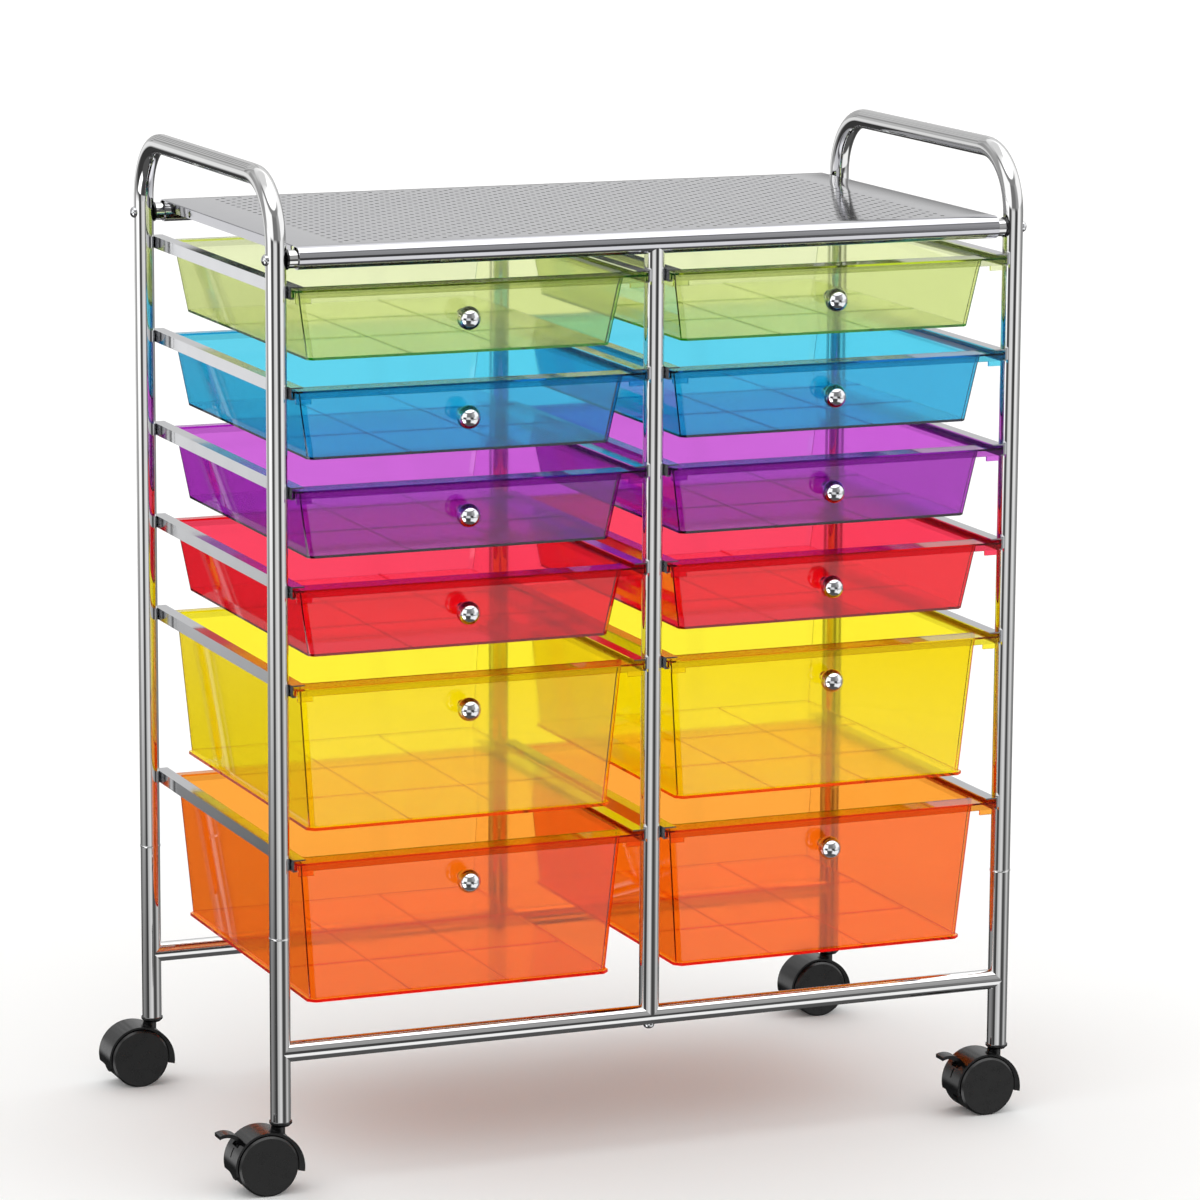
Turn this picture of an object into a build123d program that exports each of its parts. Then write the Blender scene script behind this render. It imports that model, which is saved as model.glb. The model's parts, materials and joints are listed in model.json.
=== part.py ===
from build123d import *
import math
import os

# Rolling drawer cart: a chrome tube frame on four swivel casters carries a
# perforated top tray and two columns of moulded drawers on channel runners.
# Millimetres, Z up, the cart's front faces -Y, and the floor is at Z = 0.

# Frame tubes
tube_diameter = 16.0
tube_wall = 1.0
leg_spacing_x = 616.0
leg_spacing_y = 327.0
leg_end_height = 55.0
leg_joint_height = 200.5
handle_height = 783.0
handle_bend_radius = 50.0
bottom_rail_height = 109.5
bottom_rail_joint_x = 21.0
spigot_length = 28.0
spigot_clearance = 0.1

# Top tray and the tubes that carry it
tray_drop = 59.3
tray_tube_diameter = 14.0
tray_tube_wall = 1.0
tray_sheet = 1.0
tray_roll_diameter = 18.0
tray_roll_clearance = 0.3
tray_half_length = 293.0
tray_flange_drop = 8.0
flange_hole_diameter = 5.0
flange_hole_drop = 3.8
flange_hole_back = 92.0
saddle_diameter = 16.0
saddle_thickness = 0.6
saddle_wrap = 1.0

# Dome-head screws
screw_head_diameter = 9.0
screw_head_height = 3.4

# Rows of drawers, spread evenly between the tray and the bottom rails
small_rows = 4
large_rows = 2
large_height_ratio = 2.05
row_clearance = 19.0
bottom_clearance = 25.2

# Drawer runners: folded channels
runner_drop = 19.9
runner_height = 9.5
runner_sheet = 1.0
runner_top_flange = 10.3
runner_bottom_flange = 4.5
runner_overhang = 8.9

# Drawers
drawer_wall = 1.8
drawer_base = 2.0
drawer_top_width = 267.0
drawer_base_width = 247.0
drawer_top_front = 156.0
drawer_base_front = 149.0
drawer_top_back = 154.0
drawer_base_back = 148.0
drawer_corner_bevel = 4.0
rim_back = 161.5
rim_drop = 2.8
rim_side_clearance = 0.8
skirt_clearance = 0.3
stop_clearance = 0.4
band_width = 284.4
band_height = 6.2
tab_width = 12.7
tab_drop = 3.8
foot_lip_height = 2.4
foot_lip_reach = 2.4
base_rib_width = 1.6
base_rib_height = 0.8

# Drawer knobs
knob_diameter = 18.4
knob_reach = 13.0
knob_neck_diameter = 9.0
knob_drop = 26.6

# Casters
wheel_diameter = 48.0
wheel_face_offset = 17.0
wheel_inner_offset = 3.3
wheel_edge = 1.5
wheel_bore_depth = 10.0
caster_trail = 15.0
axle_diameter = 6.0
axle_clearance = 0.08
axle_end_gap = 0.5
hood_half_width = 15.0
hood_gap = 0.9
hood_wall = 1.7
hood_tail_reach = 29.5
hood_tail_drop = 7.0
hood_back_angle = 193.5
web_thickness = 5.6
web_tail_angle = 208.0
web_tail_radius = 26.0
neck_diameter = 11.0
neck_offset = 2.2
stem_diameter = 6.0
stem_length = 32.0
stem_clearance = 0.08
swivel_gap = 0.3
socket_flange_diameter = 17.8
socket_flange_height = 3.6
socket_bevel = 2.0
socket_length = 36.0
socket_clearance = 0.05

# Brake levers on the front casters
lever_pivot_radius = 20.0
lever_pivot_angle = 140.0
lever_pin_diameter = 3.0
lever_pin_clearance = 0.08
lever_eye_diameter = 6.0
lever_tongue = 2.0
lever_width = 13.0
lever_thickness = 2.8
lever_root_x = -18.8
lever_root_z = 17.0
lever_crest_x = -29.6
lever_crest_z = 25.0
lever_tip_x = -36.4
lever_tip_z = 23.9
lever_clearance = 0.3
tongue_slot_start_angle = 126.0
tongue_slot_end_angle = 172.0
lever_window_start_angle = 132.0
lever_window_end_angle = 147.0
hood_slit_width = 1.8
hood_slit_start_angle = 149.5
hood_slit_end_angle = 167.0

# Values that follow from the sizes above
tube_radius = tube_diameter / 2
leg_x = leg_spacing_x / 2
leg_y = leg_spacing_y / 2
column_x = leg_x / 2
column_half_opening = column_x - tube_radius - runner_sheet
runner_end = leg_y + runner_overhang
tray_tube_height = handle_height - tray_drop
tray_roll_radius = tray_roll_diameter / 2
tray_roll_core = tray_roll_radius - tray_sheet
tray_roll_height = tray_tube_height + tray_roll_core - tray_tube_diameter / 2 - tray_roll_clearance
tray_top = tray_roll_height + tray_roll_radius
runner_top = tray_tube_height - runner_drop
wheel_radius = wheel_diameter / 2
hood_inner = wheel_radius + hood_gap
hood_outer = hood_inner + hood_wall
collar_height = leg_end_height - socket_flange_height
front_edge = runner_end + stop_clearance + drawer_wall
rim_half_width = column_half_opening - rim_side_clearance
skirt_height = runner_height - runner_sheet - rim_drop - skirt_clearance

# The stack of drawers fills the height between the top runners and the bottom
# rails, so both drawer heights follow from it.
stack_bottom = bottom_rail_height + tube_radius + bottom_clearance
stack_height = runner_top - rim_drop - stack_bottom
drawer_share = stack_height - row_clearance * (small_rows + large_rows - 1)
small_drawer_height = drawer_share / (small_rows + large_rows * large_height_ratio)
large_drawer_height = small_drawer_height * large_height_ratio
row_heights = [small_drawer_height] * small_rows + [large_drawer_height] * large_rows
row_tops = []
next_top = runner_top
for row_height in row_heights:
    row_tops.append(next_top)
    next_top -= row_height + row_clearance

# The origin lies on the floor, in the middle of the footprint that the front
# left brake lever and the tails of the right-hand hoods span between them.
lever_tip_reach = caster_trail - lever_tip_x
hood_tail_centre = -(hood_tail_reach**2 + hood_tail_drop**2 - hood_outer**2) / (
    2 * (hood_tail_drop + hood_outer)
)
hood_nose_reach = hood_outer - hood_tail_centre - caster_trail
origin_shift = (lever_tip_reach - hood_nose_reach) / 2

SIDES = {"left": -1, "right": 1}
ENDS = {"front": -1, "back": 1}


def ring(outer_diameter, wall):
    return Circle(outer_diameter / 2) - Circle(outer_diameter / 2 - wall)


def upright_tube(bottom, top):
    return Pos(0, 0, bottom) * extrude(ring(tube_diameter, tube_wall), top - bottom)


def cross_bar(diameter, start, end):
    """A solid round bar along X between two X positions."""
    bar = extrude(Plane.YZ * Circle(diameter / 2), end - start)
    return Pos(start, 0, 0) * bar


def cross_tube(diameter, wall, start, end):
    tube = extrude(Plane.YZ * ring(diameter, wall), end - start)
    return Pos(start, 0, 0) * tube


def spigot():
    """The plug in a tube's end, fixed below Z = 0 and entering the next tube above."""
    bore = tube_diameter - 2 * tube_wall
    fixed = extrude(Circle(bore / 2), -spigot_length)
    return fixed + extrude(Circle(bore / 2 - spigot_clearance), spigot_length)


def side_frame(x):
    """One bent tube: two upper legs and the handle between them."""
    path = FilletPolyline(
        (x, -leg_y, leg_joint_height),
        (x, -leg_y, handle_height),
        (x, leg_y, handle_height),
        (x, leg_y, leg_joint_height),
        radius=handle_bend_radius,
    )
    section = Plane((x, -leg_y, leg_joint_height)) * ring(tube_diameter, tube_wall)
    return sweep(section, path=path)


def lower_leg(x, y):
    leg = upright_tube(leg_end_height, leg_joint_height)
    leg += Pos(0, 0, leg_joint_height) * spigot()
    return Pos(x, y, 0) * leg


def bottom_rail_halves(y):
    """The two halves of a bottom rail, mitred round the legs, plugged together."""
    left = cross_tube(tube_diameter, tube_wall, -leg_x, bottom_rail_joint_x)
    right = cross_tube(tube_diameter, tube_wall, bottom_rail_joint_x, leg_x)
    joint = Plane((bottom_rail_joint_x, 0, 0), x_dir=(0, 1, 0), z_dir=(1, 0, 0))
    left += joint.location * spigot()
    halves = []
    for half, x in ((left, -leg_x), (right, leg_x)):
        leg = Pos(x, 0, 0) * Cylinder(tube_radius, 4 * tube_diameter)
        halves.append(Pos(0, y, bottom_rail_height) * (half - leg))
    return halves


def middle_post(y):
    """The centre upright, coped over the bottom rail and under the tray's roll."""
    post = upright_tube(bottom_rail_height, tray_roll_height)
    below = cross_bar(tube_diameter, -tube_diameter, tube_diameter)
    above = cross_bar(tray_roll_diameter, -tube_diameter, tube_diameter)
    post -= Pos(0, 0, bottom_rail_height) * below
    post -= Pos(0, 0, tray_roll_height) * above
    return Pos(0, y, 0) * post


def top_tray():
    """A folded sheet: both long edges rolled round their tubes, ends turned down."""
    section = Pos(0, tray_roll_radius - tray_sheet / 2) * Rectangle(leg_spacing_y, tray_sheet)
    for side in (-1, 1):
        section -= Pos(side * leg_y, 0) * Circle(tray_roll_core)
    deck = extrude(Plane.YZ * section, tray_half_length, both=True)
    tray = Pos(0, 0, tray_roll_height) * deck
    rim = extrude(Plane.YZ * ring(tray_roll_diameter, tray_sheet), tray_half_length, both=True)
    for side in (-1, 1):
        tray += Pos(0, side * leg_y, tray_roll_height) * rim
    flange = Box(tray_sheet, leg_spacing_y - tray_roll_diameter, tray_flange_drop)
    hole = cross_bar(flange_hole_diameter, -tray_sheet, tray_sheet)
    for side in (-1, 1):
        x = side * (tray_half_length - tray_sheet / 2)
        tray += Pos(x, 0, tray_top - tray_flange_drop / 2) * flange
        tray -= Pos(x, flange_hole_back, tray_top - flange_hole_drop) * hole
    return tray


def tray_tube(y):
    reach = leg_x - tube_radius - saddle_thickness
    tube = cross_tube(tray_tube_diameter, tray_tube_wall, -reach, reach)
    return Pos(0, y, tray_tube_height) * tube


def saddle(side, y):
    """A plastic spacer, hollowed to fit the leg, that the tray's tube butts on."""
    inner_face = leg_x - tube_radius
    block = cross_bar(saddle_diameter, inner_face - saddle_thickness, inner_face + saddle_wrap)
    block -= Pos(leg_x, 0, 0) * Cylinder(tube_radius, 2 * saddle_diameter)
    return Pos(0, y, tray_tube_height) * (block if side > 0 else mirror(block, Plane.YZ))


def dome_screw():
    """A dome head whose foot is hollowed to sit on a tube that lies along X."""
    radius = screw_head_diameter / 2
    crown = EllipticalCenterArc((0, tube_radius), radius, screw_head_height, arc_size=90)
    shoulder = Polyline(crown @ 0, (radius, 0), (0, 0), crown @ 1)
    head = revolve(Plane.XZ * make_face(crown + shoulder), Axis.Z)
    return head - cross_bar(tube_diameter, -tube_diameter, tube_diameter)


def runner_section():
    """The channel's profile, web at X = 0 and both flanges towards +X."""
    profile = Polyline(
        (0, 0),
        (runner_top_flange, 0),
        (runner_top_flange, -runner_sheet),
        (runner_sheet, -runner_sheet),
        (runner_sheet, runner_sheet - runner_height),
        (runner_bottom_flange, runner_sheet - runner_height),
        (runner_bottom_flange, -runner_height),
        (0, -runner_height),
        close=True,
    )
    return make_face(profile)


def runners(x, facing):
    """One upright's runners, a channel for each row, opening towards facing."""
    channel = extrude(Plane.XZ * runner_section(), runner_end, both=True)
    if facing < 0:
        channel = mirror(channel, Plane.YZ)
    return [Pos(x, 0, top) * channel for top in row_tops]


def drawer_outline(width, front, back, inset):
    """A rectangle with bevelled corners, drawn in by inset from the drawer's outside."""
    depth = front + back - 2 * inset
    centre = (back - front) / 2
    bevel = drawer_corner_bevel - inset * (2 - math.sqrt(2))
    outline = Rectangle(width - 2 * inset, depth)
    return Pos(0, centre) * chamfer(outline.vertices(), bevel)


def drawer_shell(height):
    """The tapered bin, open at the top, with its outside or inside lofted."""
    outer = loft(
        [
            Pos(0, 0, -height) * drawer_outline(drawer_base_width, drawer_base_front, drawer_base_back, 0),
            drawer_outline(drawer_top_width, drawer_top_front, drawer_top_back, 0),
        ],
        ruled=True,
    )
    inner = loft(
        [
            Pos(0, 0, -height) * drawer_outline(drawer_base_width, drawer_base_front, drawer_base_back, drawer_wall),
            drawer_outline(drawer_top_width, drawer_top_front, drawer_top_back, drawer_wall),
        ],
        ruled=True,
    )
    floor_slab = Pos(0, 0, -height + drawer_base / 2) * Box(2 * drawer_top_width, 3 * drawer_top_front, drawer_base)
    return outer, inner - floor_slab


def drawer(height, with_foot):
    """A moulded drawer with its rim, runner skirts and front band, rim top at Z = 0."""
    outer, inner = drawer_shell(height)
    rim_front = runner_end
    rim_length = rim_front + rim_back
    rim = Pos(0, (rim_back - rim_front) / 2) * Rectangle(2 * rim_half_width, rim_length)
    lip_length = front_edge - rim_front
    rim += Pos(0, -rim_front - lip_length / 2) * Rectangle(band_width, lip_length)
    body = outer + extrude(rim, -drawer_wall)

    skirt = Box(drawer_wall, rim_length, skirt_height)
    for side in (-1, 1):
        x = side * (rim_half_width - drawer_wall / 2)
        body += Pos(x, (rim_back - rim_front) / 2, -skirt_height / 2) * skirt

    half = band_width / 2
    inside = half - tab_width
    low = -band_height - tab_drop
    band = Polyline(
        (-half, 0),
        (half, 0),
        (half, low),
        (inside, low),
        (inside, -band_height),
        (-inside, -band_height),
        (-inside, low),
        (-half, low),
        close=True,
    )
    band_plate = extrude(Plane.XZ * make_face(band), drawer_wall)
    body += Pos(0, drawer_wall - front_edge, 0) * band_plate

    if with_foot:
        foot = drawer_outline(drawer_base_width, drawer_base_front, drawer_base_back, -foot_lip_reach)
        body += Pos(0, 0, -height) * extrude(foot, foot_lip_height)
    body -= inner
    return body + base_ribs(height)


def base_ribs(height):
    """Two lengthwise and two cross ribs that stiffen the drawer's floor."""
    inside_width = drawer_base_width - 2 * drawer_wall
    inside_depth = drawer_base_front + drawer_base_back - 2 * drawer_wall
    centre = (drawer_base_back - drawer_base_front) / 2
    ribs = Sketch()
    for side in (-1, 1):
        ribs += Pos(side * inside_width / 6, 0) * Rectangle(base_rib_width, inside_depth)
        ribs += Pos(0, side * inside_depth / 6) * Rectangle(inside_width, base_rib_width)
    return Pos(0, centre, -height + drawer_base) * extrude(ribs, base_rib_height)


def knob():
    """A ball on a short neck, standing on Z = 0."""
    ball = knob_diameter / 2
    neck = knob_neck_diameter / 2
    meet = knob_reach - math.sqrt(ball**2 - neck**2)
    dome = ThreePointArc((neck, meet), (ball, knob_reach), (0, knob_reach + ball))
    side = Polyline(dome @ 1, (0, 0), (neck, 0), dome @ 0)
    return revolve(Plane.XZ * make_face(dome + side), Axis.Z)


def knob_place(height):
    """Where a knob's foot stands on the sloping front wall, facing square off it."""
    lean = (drawer_top_front - drawer_base_front) / height
    seat = (0, -drawer_top_front + lean * knob_drop, -knob_drop)
    return Plane(seat, x_dir=(1, 0, 0), z_dir=(0, -1, -lean)).location


def ring_sector(inner, outer, start_angle, end_angle):
    """A face between two radii and two angles round the wheels' centre."""
    far = CenterArc((0, 0), outer, start_angle, end_angle - start_angle)
    near = CenterArc((0, 0), inner, start_angle, end_angle - start_angle)
    return make_face(far + near + Line(far @ 0, near @ 0) + Line(far @ 1, near @ 1))


def caster_housing(with_brake):
    """The hooded moulding with its neck, stem and axle; the stem is on X = Y = 0."""
    tail = (hood_tail_reach, -hood_tail_drop)
    tail_angle = math.degrees(math.atan2(-hood_tail_drop, hood_tail_reach))
    back = math.radians(hood_back_angle)
    crown_arc = TangentArc((0, hood_outer), tail, tangent=(1, 0))
    rear_arc = CenterArc((0, 0), hood_outer, 90, hood_back_angle - 90)
    rear_end = Line(
        (hood_outer * math.cos(back), hood_outer * math.sin(back)),
        (hood_inner * math.cos(back), hood_inner * math.sin(back)),
    )
    inner_arc = CenterArc((0, 0), hood_inner, tail_angle, hood_back_angle - tail_angle)
    tail_end = Line(inner_arc @ 0, tail)
    hood_face = make_face(crown_arc + rear_arc + rear_end + inner_arc + tail_end)
    body = extrude(Plane.XZ * hood_face, hood_half_width, both=True)

    web_arc = CenterArc((0, 0), web_tail_radius, tail_angle, web_tail_angle - tail_angle)
    web_face = make_face(web_arc + Line(web_arc @ 1, web_arc @ 0))
    web = extrude(Plane.XZ * web_face, web_thickness / 2, both=True)

    neck_top = collar_height - swivel_gap - wheel_radius
    neck = Pos(caster_trail - neck_offset, 0, neck_top / 2) * Cylinder(neck_diameter / 2, neck_top)
    neck -= extrude(Plane.XZ * Circle(hood_inner), hood_half_width, both=True)
    stem_rise = stem_length + socket_flange_height + swivel_gap
    stem = Pos(caster_trail, 0, neck_top + stem_rise / 2) * Cylinder(stem_diameter / 2, stem_rise)
    axle_reach = wheel_inner_offset + wheel_bore_depth - axle_end_gap
    axle = extrude(Plane.XZ * Circle(axle_diameter / 2), axle_reach, both=True)
    body = body + neck + web + stem + axle
    if with_brake:
        outside = hood_outer + hood_wall
        slot_foot = lever_pivot_radius - lever_eye_diameter
        slot = ring_sector(slot_foot, hood_inner, tongue_slot_start_angle, tongue_slot_end_angle)
        body -= extrude(Plane.XZ * slot, lever_tongue / 2 + lever_clearance, both=True)
        window_foot = wheel_radius + lever_clearance
        window = ring_sector(window_foot, outside, lever_window_start_angle, lever_window_end_angle)
        body -= extrude(Plane.XZ * window, lever_width / 2 + lever_clearance, both=True)
        slit = ring_sector(hood_inner, outside, hood_slit_start_angle, hood_slit_end_angle)
        body -= extrude(Plane.XZ * slit, hood_slit_width / 2, both=True)
        pin = Pos(*lever_pivot()) * Circle(lever_pin_diameter / 2)
        body += extrude(Plane.XZ * pin, web_thickness / 2, both=True)
    return Pos(-caster_trail, 0, wheel_radius) * body


def lever_pivot():
    angle = math.radians(lever_pivot_angle)
    return lever_pivot_radius * math.cos(angle), lever_pivot_radius * math.sin(angle)


def brake_lever():
    """A curved foot pad on a thin tongue that turns on the pin inside the hood."""
    half = lever_thickness / 2
    under = ThreePointArc(
        (lever_root_x - half, lever_root_z - half),
        (lever_crest_x - half / 2, lever_crest_z - half),
        (lever_tip_x, lever_tip_z - half),
    )
    over = ThreePointArc(
        (lever_tip_x, lever_tip_z + half),
        (lever_crest_x + half / 2, lever_crest_z + half),
        (lever_root_x + half, lever_root_z + half),
    )
    pad_face = make_face(under + Line(under @ 1, over @ 0) + over + Line(over @ 1, under @ 0))
    lever = extrude(Plane.XZ * pad_face, lever_width / 2, both=True)
    pivot_x, pivot_z = lever_pivot()
    eye = lever_eye_diameter / 2
    angle = math.atan2(lever_root_z - pivot_z, lever_root_x - pivot_x)
    side_x = -math.sin(angle) * eye
    side_z = math.cos(angle) * eye
    arm = Polyline(
        (pivot_x + side_x, pivot_z + side_z),
        (lever_root_x + side_x / 2, lever_root_z + side_z / 2),
        (lever_root_x - side_x / 2, lever_root_z - side_z / 2),
        (pivot_x - side_x, pivot_z - side_z),
        close=True,
    )
    tongue = make_face(arm) + Pos(pivot_x, pivot_z) * Circle(eye)
    tongue -= Pos(pivot_x, pivot_z) * Circle(lever_pin_diameter / 2 + lever_pin_clearance)
    lever += extrude(Plane.XZ * tongue, lever_tongue / 2, both=True)
    return Pos(-caster_trail, 0, wheel_radius) * lever


def wheel(side):
    """One of a caster's two wheels: a closed disc face and a blind axle bore."""
    bore = axle_diameter / 2 + axle_clearance
    bore_end = wheel_inner_offset + wheel_bore_depth
    rim = wheel_radius - wheel_edge
    half_section = Polyline(
        (0, wheel_face_offset),
        (0, bore_end),
        (bore, bore_end),
        (bore, wheel_inner_offset),
        (wheel_radius, wheel_inner_offset),
        (wheel_radius, wheel_face_offset - wheel_edge),
        (rim, wheel_face_offset),
        close=True,
    )
    disc = revolve(make_face(half_section), Axis.Y)
    if side < 0:
        disc = mirror(disc, Plane.XZ)
    return Pos(-caster_trail, 0, wheel_radius) * disc


def caster_socket():
    """A plug in the leg's end, with a flange under it and a bore for the stem."""
    bore = stem_diameter / 2 + stem_clearance
    plug = tube_radius - tube_wall - socket_clearance
    flange = socket_flange_diameter / 2
    bore_end = leg_end_height + stem_length + swivel_gap
    half_section = Polyline(
        (bore, collar_height),
        (flange - socket_bevel, collar_height),
        (flange, collar_height + socket_bevel),
        (flange, leg_end_height),
        (plug, leg_end_height),
        (plug, leg_end_height + socket_length),
        (0, leg_end_height + socket_length),
        (0, bore_end),
        (bore, bore_end),
        close=True,
    )
    return revolve(Plane.XZ * make_face(half_section), Axis.Z)


def save(name, shapes):
    """Writes one node, moved so that the origin is the middle of the footprint."""
    placed = [Pos(origin_shift, 0, 0) * shape for shape in shapes]
    node = placed[0] if len(placed) == 1 else Compound(children=placed)
    export_step(node, f"parts/{name}.step")


def build_frame():
    screws = []
    sockets = []
    saddles = []
    screw_up = dome_screw()
    for side_name, side in SIDES.items():
        save(f"side_frame_{side_name}", [side_frame(side * leg_x)])
        for end_name, end in ENDS.items():
            x = side * leg_x
            y = end * leg_y
            save(f"lower_leg_{end_name}_{side_name}", [lower_leg(x, y)])
            sockets.append(Pos(x, y, 0) * caster_socket())
            saddles.append(saddle(side, y))
            seat = Plane((x, y, tray_tube_height), x_dir=(0, 0, 1), z_dir=(side, 0, 0))
            screws.append(seat.location * screw_up)
    for end_name, end in ENDS.items():
        y = end * leg_y
        save(f"bottom_rail_{end_name}", bottom_rail_halves(y))
        save(f"middle_post_{end_name}", [middle_post(y)])
        seat = Plane((0, y, bottom_rail_height), x_dir=(1, 0, 0), z_dir=(0, 0, -1))
        screws.append(seat.location * screw_up)
    save("tray_tubes", [tray_tube(end * leg_y) for end in ENDS.values()])
    save("top_tray", [top_tray()])
    save("tray_saddles", saddles)
    save("frame_screws", screws)
    save("caster_sockets", sockets)
    save("runners_left", runners(tube_radius - leg_x, 1))
    save("runners_middle_left", runners(-tube_radius, -1))
    save("runners_middle_right", runners(tube_radius, 1))
    save("runners_right", runners(leg_x - tube_radius, -1))


def build_drawers():
    small = drawer(small_drawer_height, False)
    large = drawer(large_drawer_height, True)
    ball = knob()
    for side_name, side in SIDES.items():
        for row, top in enumerate(row_tops):
            is_small = row < small_rows
            height = small_drawer_height if is_small else large_drawer_height
            place = Pos(side * column_x, 0, top - rim_drop)
            save(f"drawer_{side_name}_{row + 1}", [place * (small if is_small else large)])
            save(f"knob_{side_name}_{row + 1}", [place * knob_place(height) * ball])


def build_casters():
    plain = caster_housing(False)
    braked = caster_housing(True)
    lever = brake_lever()
    for side_name, side in SIDES.items():
        for end_name, end in ENDS.items():
            place = Pos(side * leg_x, end * leg_y, 0)
            corner = f"{end_name}_{side_name}"
            save(f"caster_housing_{corner}", [place * (braked if end < 0 else plain)])
            save(f"wheel_{corner}_outer", [place * wheel(end)])
            save(f"wheel_{corner}_inner", [place * wheel(-end)])
            if end < 0:
                save(f"brake_lever_{side_name}", [place * lever])


os.makedirs("parts", exist_ok=True)
build_frame()
build_drawers()
build_casters()
print("origin shift", round(origin_shift, 4))
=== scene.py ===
import json
import math

import bpy
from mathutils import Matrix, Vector


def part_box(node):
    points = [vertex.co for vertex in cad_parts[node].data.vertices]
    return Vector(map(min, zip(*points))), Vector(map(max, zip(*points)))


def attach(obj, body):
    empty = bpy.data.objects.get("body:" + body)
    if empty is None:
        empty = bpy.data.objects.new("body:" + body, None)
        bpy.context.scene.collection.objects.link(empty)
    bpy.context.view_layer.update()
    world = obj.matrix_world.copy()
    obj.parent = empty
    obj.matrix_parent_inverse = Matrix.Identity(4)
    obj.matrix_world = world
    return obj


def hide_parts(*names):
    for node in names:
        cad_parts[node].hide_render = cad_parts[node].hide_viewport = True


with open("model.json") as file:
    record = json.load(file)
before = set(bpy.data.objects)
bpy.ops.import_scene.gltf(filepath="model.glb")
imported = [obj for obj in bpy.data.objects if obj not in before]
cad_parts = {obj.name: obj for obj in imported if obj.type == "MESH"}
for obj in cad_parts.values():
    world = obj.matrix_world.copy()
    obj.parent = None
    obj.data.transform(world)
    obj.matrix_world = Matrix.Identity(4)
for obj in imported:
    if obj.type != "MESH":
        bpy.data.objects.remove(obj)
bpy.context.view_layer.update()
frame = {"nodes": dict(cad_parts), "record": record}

mm = 0.001

# The drawers' moulding in millimetres, for their finish and for the knobs' screws
drawer_wall = 1.8
skirt_height = 6.2
front_at_rim = -156.0
front_lean = 7.0
knob_below_rim = 26.6


# Materials

# A noise texture stays mostly between these two values
noise_low, noise_high = 0.3, 0.7
plastic_ior = 1.49


def linear(hex_code):
    """An sRGB hex colour as linear RGBA."""
    channels = [int(hex_code[i : i + 2], 16) / 255 for i in (1, 3, 5)]
    return [c / 12.92 if c <= 0.04045 else ((c + 0.055) / 1.055) ** 2.4 for c in channels] + [1.0]


def add_node(tree, kind, inputs=None, **settings):
    """Adds a node, sets its settings, and fills or links its inputs."""
    node = tree.nodes.new(kind)
    for name, value in settings.items():
        setattr(node, name, value)
    for name, value in (inputs or {}).items():
        if isinstance(value, bpy.types.NodeSocket):
            tree.links.new(value, node.inputs[name])
        else:
            node.inputs[name].default_value = value
    return node


def start_material(name):
    """An empty material, its node tree, and the coordinates of the piece in metres."""
    material = bpy.data.materials.new(name)
    material.use_nodes = True
    tree = material.node_tree
    tree.nodes.clear()
    place = add_node(tree, "ShaderNodeTexCoord").outputs["Object"]
    return material, tree, place


def finish_material(tree, surface, inside=None):
    """Links the surface, and what fills the piece, to the material's output."""
    output = add_node(tree, "ShaderNodeOutputMaterial", {"Surface": surface.outputs["BSDF"]})
    if inside:
        tree.links.new(inside.outputs["Volume"], output.inputs["Volume"])


def chrome_on_steel(name, clear, clouded, roughness, spread, wave, wave_height):
    """Bright chrome plate over polished steel: a cold mirror that is a little
    uneven, because the buffing wheel leaves long shallow waves under the plate
    and a faint haze that comes and goes along the metal."""
    haze_length = 28
    material, tree, place = start_material(name)
    haze = add_node(
        tree,
        "ShaderNodeTexNoise",
        {"Vector": place, "Scale": 1 / (haze_length * mm), "Detail": 4.0, "Roughness": 0.6},
    )
    gloss = add_node(
        tree,
        "ShaderNodeMapRange",
        {
            "Value": haze.outputs["Fac"],
            "From Min": noise_low,
            "From Max": noise_high,
            "To Min": roughness,
            "To Max": roughness + spread,
        },
    )
    plate = add_node(
        tree,
        "ShaderNodeMix",
        {"Factor": haze.outputs["Fac"], "A": linear(clear), "B": linear(clouded)},
        data_type="RGBA",
    )
    buffed = add_node(
        tree, "ShaderNodeTexNoise", {"Vector": place, "Scale": 1 / (wave * mm), "Detail": 2.0}
    )
    waves = add_node(
        tree,
        "ShaderNodeBump",
        {"Height": buffed.outputs["Fac"], "Strength": 0.25, "Distance": wave_height * mm},
    )
    surface = add_node(
        tree,
        "ShaderNodeBsdfPrincipled",
        {
            "Base Color": plate.outputs["Result"],
            "Metallic": 1.0,
            "Roughness": gloss.outputs["Result"],
            "Normal": waves.outputs["Normal"],
        },
    )
    finish_material(tree, surface)
    return material


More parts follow.
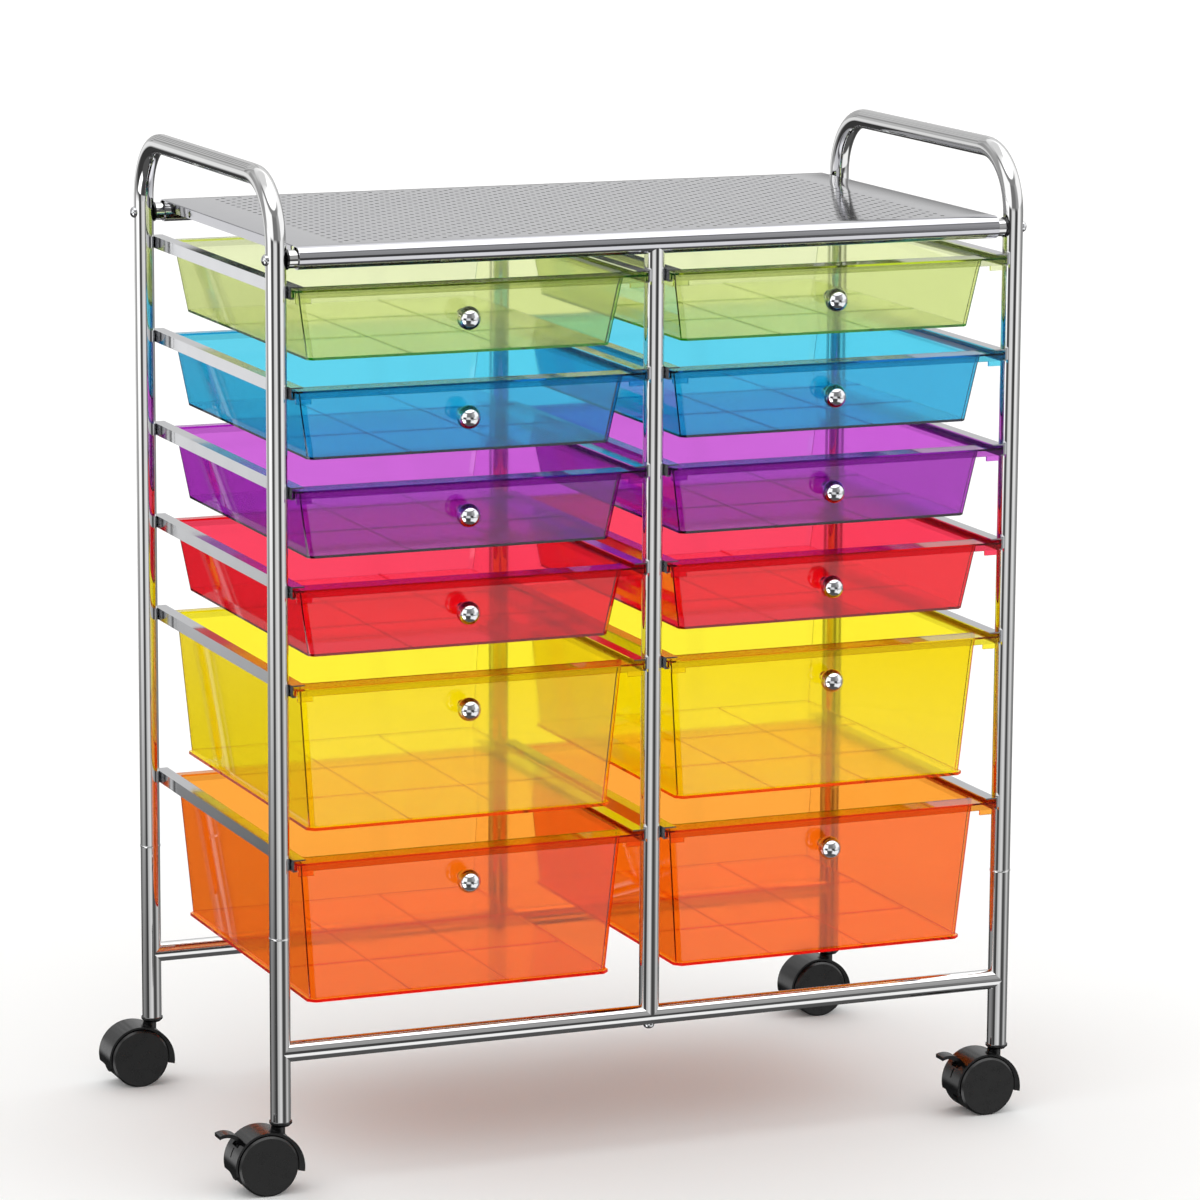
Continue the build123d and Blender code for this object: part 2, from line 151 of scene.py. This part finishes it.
def black_moulding(name, colour, worn, roughness, grain, grain_height):
    """Black plastic moulded against an etched tool: near black, with a grey
    satin sheen, a leathery grain and slightly paler scuffed spots. The real
    grain is too fine to show, so it is drawn coarser, near a millimetre."""
    scuff_length = 9
    polished, dulled = 0.05, 0.07
    material, tree, place = start_material(name)
    scuffs = add_node(
        tree,
        "ShaderNodeTexNoise",
        {"Vector": place, "Scale": 1 / (scuff_length * mm), "Detail": 5.0, "Roughness": 0.65},
    )
    tone = add_node(
        tree,
        "ShaderNodeMix",
        {"Factor": scuffs.outputs["Fac"], "A": linear(colour), "B": linear(worn)},
        data_type="RGBA",
    )
    gloss = add_node(
        tree,
        "ShaderNodeMapRange",
        {
            "Value": scuffs.outputs["Fac"],
            "From Min": noise_low,
            "From Max": noise_high,
            "To Min": roughness - polished,
            "To Max": roughness + dulled,
        },
    )
    etched = add_node(tree, "ShaderNodeTexVoronoi", {"Vector": place, "Scale": 1 / (grain * mm)})
    pores = add_node(
        tree,
        "ShaderNodeBump",
        {"Height": etched.outputs["Distance"], "Strength": 0.3, "Distance": grain_height * mm},
    )
    surface = add_node(
        tree,
        "ShaderNodeBsdfPrincipled",
        {
            "Base Color": tone.outputs["Result"],
            "Roughness": gloss.outputs["Result"],
            "IOR": plastic_ior,
            "Normal": pores.outputs["Normal"],
        },
    )
    finish_material(tree, surface)
    return material


def tinted_styrene(name, tint, dye, row):
    """Clear tinted polystyrene, moulded in a polished tool: see-through, deeper in
    colour along rims and corners where the eye looks through more plastic, with a
    painted shade on the band below the rim, slow ripples from the shrinking wall
    and hardly visible flow marks."""
    flow_length = 45
    flow_fade = 0.92
    ripple_length, ripple_height = 18, 0.05
    # Painted shade: how much darker the band below the rim is painted, and how soft its lower edge
    # is
    rim_painted_shade, rim_blend = 0.8, 0.2
    smoothest, roughest = 0.02, 0.06
    material, tree, place = start_material(name)
    flow = add_node(
        tree,
        "ShaderNodeTexNoise",
        {"Vector": place, "Scale": 1 / (flow_length * mm), "Detail": 3.0},
    )
    dyed = linear(dye)[:3]
    full = [t / d for t, d in zip(linear(tint), dyed)]
    faint = [c**flow_fade for c in full]
    # Painted shade: the tint darkened for the band below the rim
    painted_shade_tint = [rim_painted_shade * c for c in full]
    skin = add_node(
        tree,
        "ShaderNodeMix",
        {"Factor": flow.outputs["Fac"], "A": faint + [1.0], "B": full + [1.0]},
        data_type="RGBA",
    )
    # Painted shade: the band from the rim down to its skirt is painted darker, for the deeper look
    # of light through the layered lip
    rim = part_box(f"drawer_left_{row}")[1].z
    height = add_node(tree, "ShaderNodeSeparateXYZ", {"Vector": place})
    painted_shade_band = add_node(
        tree,
        "ShaderNodeMapRange",
        {
            "Value": height.outputs["Z"],
            "From Min": rim - (skirt_height + rim_blend) * mm,
            "From Max": rim - (skirt_height - rim_blend) * mm,
        },
    )
    deeper = add_node(
        tree,
        "ShaderNodeMix",
        {"Factor": painted_shade_band.outputs["Result"], "A": skin.outputs["Result"], "B": painted_shade_tint + [1.0]},
        data_type="RGBA",
    )
    gloss = add_node(
        tree,
        "ShaderNodeMapRange",
        {
            "Value": flow.outputs["Fac"],
            "From Min": noise_low,
            "From Max": noise_high,
            "To Min": smoothest,
            "To Max": roughest,
        },
    )
    shrink = add_node(
        tree,
        "ShaderNodeTexNoise",
        {"Vector": place, "Scale": 1 / (ripple_length * mm), "Detail": 1.0},
    )
    ripple = add_node(
        tree,
        "ShaderNodeBump",
        {"Height": shrink.outputs["Fac"], "Strength": 0.2, "Distance": ripple_height * mm},
    )
    surface = add_node(
        tree,
        "ShaderNodeBsdfPrincipled",
        {
            "Base Color": deeper.outputs["Result"],
            "Roughness": gloss.outputs["Result"],
            "IOR": plastic_ior,
            "Transmission Weight": 0.985,
            "Normal": ripple.outputs["Normal"],
        },
    )
    # The dye takes up the rest of the tint inside the plastic, over one wall
    taken = [-math.log(c) / (drawer_wall * mm) for c in dyed]
    inside = add_node(
        tree,
        "ShaderNodeVolumeAbsorption",
        {"Color": [1 - t / max(taken) for t in taken] + [1.0], "Density": max(taken)},
    )
    finish_material(tree, surface, inside)
    return material


# Chrome and black: two colours, roughness, for chrome its spread, then the
# pattern's length and height in millimetres. Drawers: tint, dye and row from the top.
finishes = {
    "chrome_tube": chrome_on_steel(
        "bright_chrome_on_drawn_tube", "#d8d8d7", "#d0d0d1", 0.015, 0.03, 60, 0.03
    ),
    "chrome_runner": chrome_on_steel(
        "bright_chrome_on_folded_strip", "#d3d4d6", "#cbccd0", 0.06, 0.08, 30, 0.06
    ),
    "chrome_screw": chrome_on_steel(
        "bright_chrome_on_screw_heads", "#d1d2d4", "#c9cacc", 0.05, 0.05, 12, 0.02
    ),
    "chrome_knob": chrome_on_steel(
        "bright_chrome_on_cast_knobs", "#dadbdd", "#d2d3d7", 0.02, 0.03, 40, 0.02
    ),
    "tray_steel": chrome_on_steel(
        "bright_chrome_on_punched_sheet", "#c0c0c4", "#b8b8be", 0.05, 0.05, 80, 0.08
    ),
    "black_plastic": black_moulding(
        "black_polypropylene_etched", "#040405", "#09090a", 0.2, 0.9, 0.03
    ),
    "wheel_plastic": black_moulding(
        "black_nylon_moulded", "#050505", "#0a0a0a", 0.28, 0.7, 0.008
    ),
    "drawer_green": tinted_styrene("tinted_polystyrene_lime", "#e3eabd", "#fcfedd", 1),
    "drawer_blue": tinted_styrene("tinted_polystyrene_blue", "#60cee8", "#b4f3fc", 2),
    "drawer_purple": tinted_styrene("tinted_polystyrene_violet", "#c765d2", "#f7bcfa", 3),
    "drawer_red": tinted_styrene("tinted_polystyrene_red", "#f44560", "#fea6bc", 4),
    "drawer_yellow": tinted_styrene("tinted_polystyrene_amber", "#f9ea3a", "#fffdb4", 5),
    "drawer_orange": tinted_styrene("tinted_polystyrene_orange", "#faa53f", "#fff0b4", 6),
}
for part in frame["record"]["subparts"]:
    node = frame["nodes"][part["node"]]
    node.data.materials.clear()
    node.data.materials.append(finishes[part["material_slot"]])


# Shaping by hand

# How near to its place, in millimetres, a corner lies that is picked
edge_reach, face_reach = 0.1, 0.01


def shaping(piece):
    """Makes a piece the only one selected, ready for edit mode."""
    bpy.ops.object.select_all(action="DESELECT")
    piece.select_set(True)
    bpy.context.view_layer.objects.active = piece


def pick(piece, kind, wanted):
    """Selects, in edit mode, the faces or edges whose corners all pass wanted."""
    bpy.ops.object.mode_set(mode="EDIT")
    bpy.ops.mesh.select_mode(type=kind)
    bpy.ops.mesh.select_all(action="DESELECT")
    bpy.ops.object.mode_set(mode="OBJECT")
    corners = piece.data.vertices
    for part in piece.data.polygons if kind == "FACE" else piece.data.edges:
        part.select = all(wanted(corners[i].co / mm) for i in part.vertices)
    bpy.ops.object.mode_set(mode="EDIT")


def apply_modifier(piece, kind, **settings):
    """Adds a modifier to the active piece and applies it."""
    modifier = piece.modifiers.new(kind.lower(), kind)
    for name, value in settings.items():
        setattr(modifier, name, value)
    bpy.ops.object.modifier_apply(modifier=modifier.name)


def copy_to(model, place, turn=(0, 0, 0)):
    """A copy of a model with its own mesh, put in its place and ready to settle."""
    copied = model.copy()
    copied.data = model.data.copy()
    bpy.context.scene.collection.objects.link(copied)
    copied.location = place
    copied.rotation_euler = turn
    shaping(copied)
    return copied


def settle(piece, name, body, slot):
    """Names a finished piece, puts its place in its mesh, and gives it body and finish."""
    smooth_angle = 35
    bpy.ops.object.mode_set(mode="OBJECT")
    bpy.ops.object.transform_apply(location=True, rotation=True, scale=True)
    bpy.ops.object.shade_smooth_by_angle(angle=math.radians(smooth_angle))
    piece.name = name
    piece.data.name = name
    piece.data.materials.clear()
    piece.data.materials.append(finishes[slot])
    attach(piece, body)


# Punched tray


def punched_tray():
    """The tray's sheet: staggered rows of punched holes, long edges rolled round
    their tubes, and both ends folded down with a small hole in each."""
    low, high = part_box("top_tray")
    centre_x = (low.x + high.x) / 2 / mm
    half_length = (high.x - low.x) / 2 / mm
    top = high.z / mm
    sheet = 1.0
    roll, roll_turn = 9.0, 330
    roll_y = high.y / mm - roll
    fold, fold_drop = 1.0, 7
    cell_x, cell_y = 7.0, 6.7
    columns, rows = 73, 46
    hole_inset, hole_corner = 1.75, 0.95
    end_hole_y = 90.45
    end_hole_inset, end_hole_corner = 0.85, 1.4
    hole_sides = 8
    weld = 0.005
    bpy.ops.object.select_all(action="DESELECT")
    bpy.ops.mesh.primitive_grid_add(x_subdivisions=columns, y_subdivisions=rows, size=1)
    tray = bpy.context.object
    bpy.ops.object.mode_set(mode="EDIT")
    bpy.ops.transform.resize(value=(columns * cell_x * mm, rows * cell_y * mm, 1))
    bpy.ops.transform.translate(value=(centre_x * mm, 0, top * mm))

    # Plain margins, then the folded ends
    punched_half = columns * cell_x / 2
    flange_y = rows * cell_y / 2
    fold_x = half_length - fold
    for side in (-1, 1):
        pick(tray, "EDGE", lambda p: side * (p.x - centre_x) > punched_half - edge_reach)
        bpy.ops.mesh.extrude_region_move(
            TRANSFORM_OT_translate={"value": (side * (fold_x - punched_half) * mm, 0, 0)}
        )
        bpy.ops.mesh.spin(
            steps=4,
            angle=math.radians(-90) * side,
            center=((centre_x + side * fold_x) * mm, 0, (top - fold) * mm),
            axis=(0, 1, 0),
        )
        bpy.ops.mesh.extrude_region_move(
            TRANSFORM_OT_translate={"value": (0, 0, -fold_drop * mm)}
        )

    # Long edges, rolled
    for side in (-1, 1):
        pick(
            tray,
            "EDGE",
            lambda p: side * p.y > flange_y - edge_reach and p.z > top - face_reach,
        )
        bpy.ops.mesh.extrude_region_move(
            TRANSFORM_OT_translate={"value": (0, side * (roll_y - flange_y) * mm, 0)}
        )
        bpy.ops.mesh.spin(
            steps=30,
            angle=math.radians(roll_turn) * side,
            center=(0, side * roll_y * mm, (top - roll) * mm),
            axis=(1, 0, 0),
        )

    # Punched holes: every second cell of the deck, and one cell in each folded end
    pick(tray, "FACE", lambda p: False)
    bpy.ops.object.mode_set(mode="OBJECT")
    for face in tray.data.polygons:
        place = face.center / mm
        along = place.x - centre_x
        column = int((along + punched_half) / cell_x)
        row = int((place.y + flange_y) / cell_y)
        in_cells = abs(along) < punched_half and abs(place.y) < flange_y
        in_deck = in_cells and place.z > top - face_reach
        face.select = in_deck and (column + row) % 2 == 0
    bpy.ops.object.mode_set(mode="EDIT")
    bpy.ops.mesh.inset(thickness=hole_inset * mm, use_individual=True)
    bpy.ops.mesh.bevel(offset=hole_corner * mm, affect="VERTICES", segments=1)
    pick(
        tray,
        "FACE",
        lambda p: p.z < top - fold + face_reach
        and abs(p.y - end_hole_y) < cell_y / 2 + face_reach
        and abs(p.x - centre_x) > half_length - face_reach,
    )
    bpy.ops.mesh.inset(thickness=end_hole_inset * mm, use_individual=True)
    bpy.ops.mesh.bevel(offset=end_hole_corner * mm, affect="VERTICES", segments=1)
    bpy.ops.mesh.select_all(action="DESELECT")
    bpy.ops.mesh.select_face_by_sides(number=hole_sides)
    bpy.ops.mesh.delete(type="FACE")

    # The sheet gets its thickness below and inside
    bpy.ops.mesh.select_all(action="SELECT")
    bpy.ops.mesh.remove_doubles(threshold=weld * mm)
    bpy.ops.mesh.normals_make_consistent(inside=False)
    bpy.ops.object.mode_set(mode="OBJECT")
    deck = max(tray.data.polygons, key=lambda face: face.center.z - abs(face.center.y))
    if deck.normal.z < 0:
        bpy.ops.object.mode_set(mode="EDIT")
        bpy.ops.mesh.flip_normals()
        bpy.ops.object.mode_set(mode="OBJECT")
    apply_modifier(tray, "SOLIDIFY", thickness=sheet * mm, offset=-1)
    settle(tray, "punched_tray", "frame", "tray_steel")
    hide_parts("top_tray")


punched_tray()


# Beads at the legs' joints


def joint_bead():
    """The slim rolled bead where an upper tube meets its lower leg."""
    bore_radius, length = 8.02, 1.4
    thickness, rounding = 0.35, 0.3
    bpy.ops.object.select_all(action="DESELECT")
    bpy.ops.mesh.primitive_cylinder_add(
        vertices=48, radius=bore_radius * mm, depth=length * mm, end_fill_type="NOTHING"
    )
    bead = bpy.context.object
    apply_modifier(bead, "SOLIDIFY", thickness=thickness * mm, offset=1)
    apply_modifier(bead, "BEVEL", width=rounding * mm, segments=2, limit_method="ANGLE")
    return bead


leg_joint_height = 200.5
bead = joint_bead()
for side in ("left", "right"):
    for end in ("front", "back"):
        low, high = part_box(f"lower_leg_{end}_{side}")
        joint = ((low.x + high.x) / 2, (low.y + high.y) / 2, leg_joint_height * mm)
        settle(copy_to(bead, joint), f"leg_bead_{end}_{side}", "frame", "chrome_tube")
bpy.data.objects.remove(bead)


# Screws that hold the knobs


def pan_screw():
    """A pan head with a cross recess, standing on Z = 0 and facing up."""
    head_radius, head_height = 4.2, 2.4
    dome_steps = ((1.0, 0.35), (1.2, 0.15))
    cross_length, cross_width, cross_depth = 4.4, 0.9, 1.8
    rounding, rounded_from = 0.15, 40
    bpy.ops.object.select_all(action="DESELECT")
    bpy.ops.mesh.primitive_cylinder_add(
        vertices=32,
        radius=head_radius * mm,
        depth=head_height * mm,
        location=(0, 0, head_height / 2 * mm),
    )
    screw = bpy.context.object
    pick(screw, "FACE", lambda p: p.z > head_height - edge_reach)
    for inset, rise in dome_steps:
        bpy.ops.mesh.inset(thickness=inset * mm)
        bpy.ops.transform.translate(value=(0, 0, rise * mm))
    bpy.ops.object.mode_set(mode="OBJECT")

    # The cross is cut by one bar, turned for its second slot
    bpy.ops.mesh.primitive_cube_add(
        size=1,
        location=(0, 0, head_height * mm),
        scale=(cross_length * mm, cross_width * mm, cross_depth * mm),
    )
    bar = bpy.context.object
    for turn in (0, 90):
        bar.rotation_euler = (0, 0, math.radians(turn))
        shaping(screw)
        apply_modifier(screw, "BOOLEAN", object=bar, operation="DIFFERENCE")
    bpy.data.objects.remove(bar)
    apply_modifier(
        screw,
        "BEVEL",
        width=rounding * mm,
        segments=2,
        limit_method="ANGLE",
        angle_limit=math.radians(rounded_from),
    )
    return screw


screw = pan_screw()
for side in ("left", "right"):
    for row in range(1, 7):
        low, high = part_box(f"drawer_{side}_{row}")
        lean = front_lean / ((high.z - low.z) / mm)
        wall_along_y = drawer_wall * math.sqrt(1 + lean * lean)
        inside_y = front_at_rim + lean * knob_below_rim + wall_along_y
        copied = copy_to(
            screw,
            ((low.x + high.x) / 2, inside_y * mm, (high.z / mm - knob_below_rim) * mm),
            (math.radians(-90) + math.atan(lean), 0, 0),
        )
        settle(copied, f"knob_screw_{side}_{row}", f"drawer_{side}_{row}", "chrome_screw")
bpy.data.objects.remove(screw)


# Floor and camera


def paper_sweep():
    """Matt white studio paper, its tone hardly uneven. The fibres are too fine
    to show, so they are drawn as wide soft clouds."""
    cloud_length = 400
    material, tree, place = start_material("white_paper_matt")
    fibre = add_node(
        tree,
        "ShaderNodeTexNoise",
        {"Vector": place, "Scale": 1 / (cloud_length * mm), "Detail": 3.0},
    )
    tone = add_node(
        tree,
        "ShaderNodeMix",
        {"Factor": fibre.outputs["Fac"], "A": linear("#f7f7f6"), "B": linear("#f9f9f8")},
        data_type="RGBA",
    )
    surface = add_node(
        tree, "ShaderNodeBsdfPrincipled", {"Base Color": tone.outputs["Result"], "Roughness": 0.95}
    )
    finish_material(tree, surface)
    return material


floor_metres = 60
bpy.ops.object.select_all(action="DESELECT")
bpy.ops.mesh.primitive_plane_add(size=floor_metres)
floor = bpy.context.object
floor.name = "floor"
floor.data.materials.append(paper_sweep())
floor.visible_glossy = False

# Place in millimetres, turn in degrees and focal length in pixels, as solved
# for the photograph
camera_place = (-1578.083, -3931.671, 1226.990)
camera_turn = (79.159, -0.325, -22.331)
focal_pixels, picture_pixels = 5340.303, 1200
sensor_width = 36
camera_data = bpy.data.cameras.new("camera")
camera = bpy.data.objects.new("camera", camera_data)
bpy.context.scene.collection.objects.link(camera)
bpy.context.scene.camera = camera
camera.location = Vector(camera_place) * mm
camera.rotation_euler = [math.radians(a) for a in camera_turn]
camera_data.sensor_width = sensor_width
camera_data.lens = focal_pixels * sensor_width / picture_pixels
camera_data.clip_end = 200


# Light

# The studio as polished metal sees it: panels of light and the gaps between
# them, in seven rings. Each stop is a compass angle, 0 at the camera and growing
# to its right, and the light there.
panels = {
    "near": [
        (-180, 0.05), (-72, 0.06), (-62, 3.0), (-38, 3.0), (-28, 0.2), (-15, 0.08), (18, 0.08),
        (34, 1.3), (100, 1.3), (112, 0.1), (180, 0.05),
    ],
    "edge": [
        (-180, 0.12), (-150, 0.05), (-128, 0.03), (-108, 0.35), (-80, 0.3), (-60, 0.15),
        (-45, 0.05), (-30, 0.08), (-22, 0.7), (-12, 0.7), (3, 0.95), (18, 0.95), (26, 0.4),
        (34, 0.08), (60, 0.1), (72, 0.5), (82, 0.8), (95, 0.6), (110, 0.25), (180, 0.2),
    ],
    "low": [
        (-180, 0.3), (-160, 0.6), (-146, 1.1), (-130, 1.0), (-124, 0.45), (-105, 0.5), (-94, 0.6),
        (-87, 1.7), (-56, 1.7), (-48, 0.25), (-43, 0.08), (-25, 0.12), (-17, 0.95), (10, 1.1),
        (19, 0.3), (27, 0.05), (46, 0.08), (54, 1.0), (60, 1.25), (78, 1.25), (90, 0.85),
        (108, 0.4), (150, 0.3), (180, 0.3),
    ],
    "middle": [
        (-180, 0.7), (-173, 0.7), (-169, 0.65), (-166, 0.3), (-162, 0.8), (-159, 0.3),
        (-155, 0.85), (-152, 0.3), (-148, 0.85), (-145, 0.3), (-141, 0.8), (-138, 0.3),
        (-134, 0.75), (-130, 0.4), (-112, 0.5), (-90, 0.4), (-82, 1.5), (-22, 1.5), (-14, 0.25),
        (25, 0.25), (40, 0.45), (60, 0.5), (68, 1.4), (130, 1.4), (142, 0.65), (172, 0.68),
        (180, 0.7),
    ],
    "upper": [
        (-180, 0.9), (-173, 0.5), (-169, 1.0), (-165, 0.4), (-161, 0.95), (-157, 0.4), (-153, 1.0),
        (-149, 0.45), (-145, 0.9), (-139, 0.5), (-120, 0.7), (-95, 0.45), (-82, 1.5), (-22, 1.5),
        (-14, 0.25), (25, 0.25), (45, 0.5), (62, 0.6), (70, 1.4), (130, 1.4), (145, 1.1),
        (180, 0.9),
    ],
    "gap": [
        (-180, 1.4), (-110, 0.8), (-90, 0.3), (60, 0.35), (85, 0.9), (110, 1.9), (160, 1.9),
        (180, 1.4),
    ],
    "high": [
        (-180, 1.0), (-95, 1.0), (-70, 1.4), (-48, 2.4), (48, 2.6), (150, 2.6), (172, 1.0),
        (180, 1.0),
    ],
}
# Where each ring takes over from the one below it, as sines of the angle above level
heights = {
    "near": (-0.8, -0.72),
    "edge": (-0.33, -0.29),
    "low": (-0.268, -0.13),
    "middle": (0.02, 0.1),
    "upper": (0.3, 0.42),
    "gap": (0.6, 0.66),
    "high": (0.74, 0.8),
}
straight_below = (0.12, 0.12, 0.12, 1)
even_white = (1.18, 1.18, 1.18, 1)
camera_compass = 21.9

world = bpy.data.worlds.new("studio")
bpy.context.scene.world = world
world.use_nodes = True
tree = world.node_tree
tree.nodes.clear()
direction = add_node(tree, "ShaderNodeTexCoord").outputs["Generated"]
turned = add_node(
    tree,
    "ShaderNodeMapping",
    {"Vector": direction, "Rotation": (0, 0, math.radians(camera_compass))},
    vector_type="POINT",
)
axes = add_node(tree, "ShaderNodeSeparateXYZ", {"Vector": turned.outputs["Vector"]})
ahead = add_node(tree, "ShaderNodeMath", {0: axes.outputs["Y"], 1: -1.0}, operation="MULTIPLY")
angle = add_node(
    tree, "ShaderNodeMath", {0: axes.outputs["X"], 1: ahead.outputs[0]}, operation="ARCTAN2"
)
compass = add_node(
    tree,
    "ShaderNodeMapRange",
    {
        "Value": angle.outputs[0],
        "From Min": -math.pi,
        "From Max": math.pi,
        "To Min": 0.0,
        "To Max": 1.0,
    },
)
seen = straight_below
for name, (start, end) in heights.items():
    stops = panels[name]
    ring = add_node(tree, "ShaderNodeValToRGB", {"Fac": compass.outputs["Result"]})
    while len(ring.color_ramp.elements) < len(stops):
        ring.color_ramp.elements.new(0.5)
    for element, (degrees, light) in zip(ring.color_ramp.elements, stops):
        element.position = (degrees + 180) / 360
        element.color = (light, light, light, 1)
    share = add_node(
        tree,
        "ShaderNodeMapRange",
        {"Value": axes.outputs["Z"], "From Min": start, "From Max": end},
        interpolation_type="SMOOTHSTEP",
    )
    seen = add_node(
        tree,
        "ShaderNodeMix",
        {"Factor": share.outputs["Result"], "A": seen, "B": ring.outputs["Color"]},
        data_type="RGBA",
    ).outputs["Result"]

# Mirrored light alone sees the rings. Light through the drawers, which counts as
# glossy too, and all other light see an even white.
path = add_node(tree, "ShaderNodeLightPath")
mirrored = add_node(
    tree,
    "ShaderNodeMath",
    {0: path.outputs["Is Glossy Ray"], 1: path.outputs["Is Transmission Ray"]},
    operation="SUBTRACT",
    use_clamp=True,
)
dome = add_node(
    tree,
    "ShaderNodeMix",
    {"Factor": mirrored.outputs[0], "A": even_white, "B": seen},
    data_type="RGBA",
)
glow = add_node(tree, "ShaderNodeBackground", {"Color": dome.outputs["Result"], "Strength": 1.0})
add_node(tree, "ShaderNodeOutputWorld", {"Surface": glow.outputs["Background"]})

bpy.context.scene.view_settings.view_transform = "Standard"

# Light runs far along the drawers' edges before it leaves them
bpy.context.scene.cycles.max_bounces = 48
bpy.context.scene.cycles.transmission_bounces = 40
bpy.context.scene.cycles.glossy_bounces = 40
